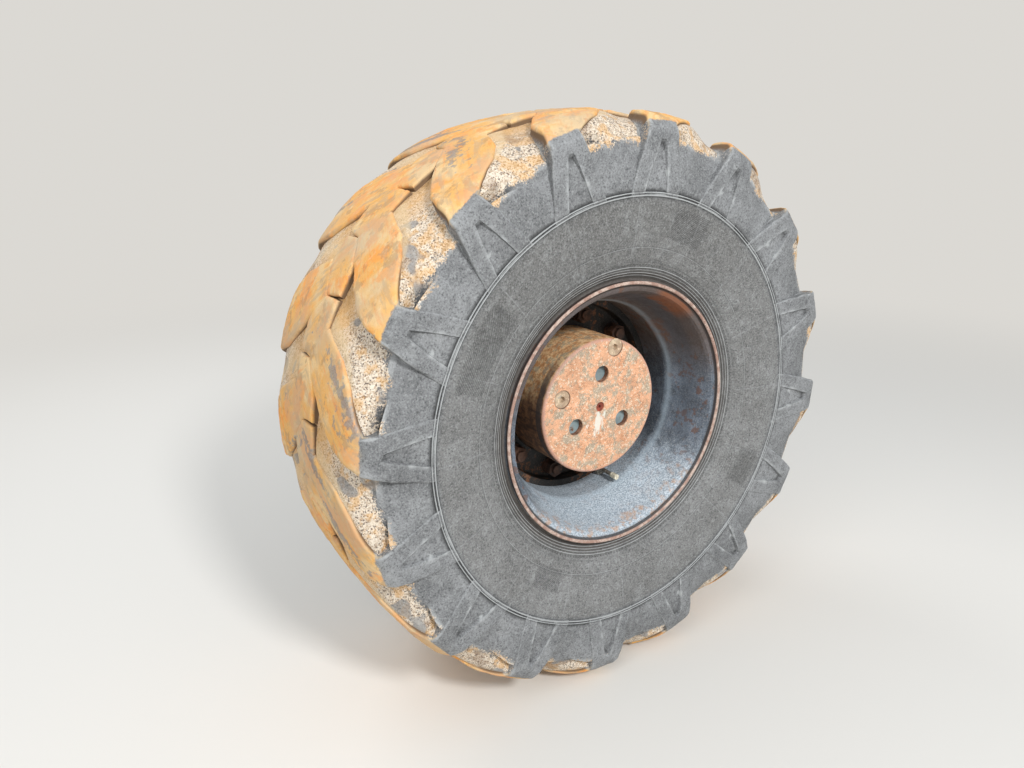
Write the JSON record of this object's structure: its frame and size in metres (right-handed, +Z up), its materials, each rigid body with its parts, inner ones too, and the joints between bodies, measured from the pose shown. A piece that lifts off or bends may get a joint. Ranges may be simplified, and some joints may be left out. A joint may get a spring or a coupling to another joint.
{
  "type": "steered drive wheel with planetary hub and axle arm",
  "caption": "Steered wheel of a wheeled excavator: lugged tyre on a deep dished rim, planetary hub, knuckle on kingpins and axle arm.",
  "frame": {"origin": "centre of the axle arm's bolting flange, on its face", "axes": "+Y along the axle towards the machine's middle, so the wheel's outboard side faces -Y; +Z up along the kingpins; X along the machine"},
  "size_m": [1.124, 1.0785, 1.124],
  "materials": {
    "axle_paint": "dull grey paint with dust",
    "seal_rubber": "black rubber",
    "bright_steel": "zinc plated",
    "shaft_steel": "machined steel, oily",
    "bolt_steel": "weathered zinc",
    "brass": "dull brass",
    "rusty_iron": "orange rust over worn paint",
    "pin_steel": "pale teal grey paint",
    "rusty_steel": "dark rust",
    "disc_paint": "dark dirty paint",
    "rim_paint": "blue grey paint with dust and rust",
    "tyre": "grey rubber with dried mud"
  },
  "bodies": {
    "axle": {"axle_arm": "axle_paint", "arm_seal": "seal_rubber", "oil_plug": "bright_steel"},
    "inner_drive": {"inner_shaft": "shaft_steel"},
    "knuckle": {"knuckle": "axle_paint", "kingpin_upper": "axle_paint", "kingpin_lower": "axle_paint", "kingpin_bolts": "bolt_steel", "spindle": "shaft_steel", "brake_housing": "axle_paint", "brake_bolts": "bolt_steel", "hub_seal": "seal_rubber", "steering_lever": "axle_paint", "lever_bolts": "bolt_steel", "stop_bolts": "bolt_steel", "brake_union": "brass"},
    "outer_drive": {"outer_shaft": "shaft_steel"},
    "wheel": {"hub": "rusty_iron", "planet_carrier": "rusty_iron", "planet_pins": "pin_steel", "carrier_screws": "rusty_iron", "centre_plug": "rusty_iron", "wheel_studs": "rusty_steel", "wheel_nuts": "rusty_steel", "wheel_disc": "disc_paint", "rim_barrel": "rim_paint", "valve": "brass", "tyre": "tyre"}
  },
  "joints": [
    {"name": "steering", "type": "hinge", "parent": "axle", "child": "knuckle", "pos_m": [0, -0.54, 0], "axis": [0, 0, 1], "range_deg": [-35, 35]},
    {"name": "wheel_spin", "type": "hinge", "parent": "knuckle", "child": "wheel", "pos_m": [0, -0.8, 0], "axis": [0, 1, 0], "continuous": true},
    {"name": "outer_drive_spin", "type": "hinge", "parent": "knuckle", "child": "outer_drive", "pos_m": [0, -0.54, 0], "axis": [0, 1, 0], "continuous": true},
    {"name": "inner_drive_spin", "type": "hinge", "parent": "axle", "child": "inner_drive", "pos_m": [0, 0, 0], "axis": [0, 1, 0], "continuous": true}
  ],
  "couplings": [
    {"joint": "outer_drive_spin", "follows": "wheel_spin", "ratio": 6},
    {"joint": "inner_drive_spin", "follows": "wheel_spin", "ratio": 6}
  ]
}
